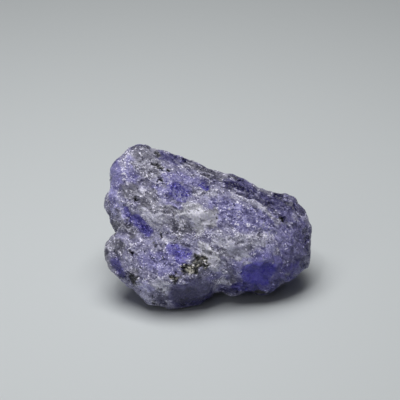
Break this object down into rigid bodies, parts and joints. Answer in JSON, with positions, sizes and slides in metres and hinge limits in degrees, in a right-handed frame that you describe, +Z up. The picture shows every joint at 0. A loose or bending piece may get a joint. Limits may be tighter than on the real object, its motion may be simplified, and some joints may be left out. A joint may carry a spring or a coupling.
{
  "type": "rough tanzanite",
  "caption": "Rough, broken piece of blue-violet tanzanite with cleavage steps, granular crust and a small flat spot to rest on.",
  "frame": {"origin": "centre of the stone's bounding box, on the table it rests on", "axes": "+X along the stone's length towards its rounded end, +Z up; the broad broken face looks to -Y and leans back"},
  "size_m": [0.032, 0.0212, 0.0202],
  "materials": {
    "stone": "granular blue-violet to grey crystal, glossy on the fresh cleavage faces, with a small black and brassy graphite nest"
  },
  "bodies": {
    "root": {"tanzanite_stone": "stone"}
  },
  "joints": []
}
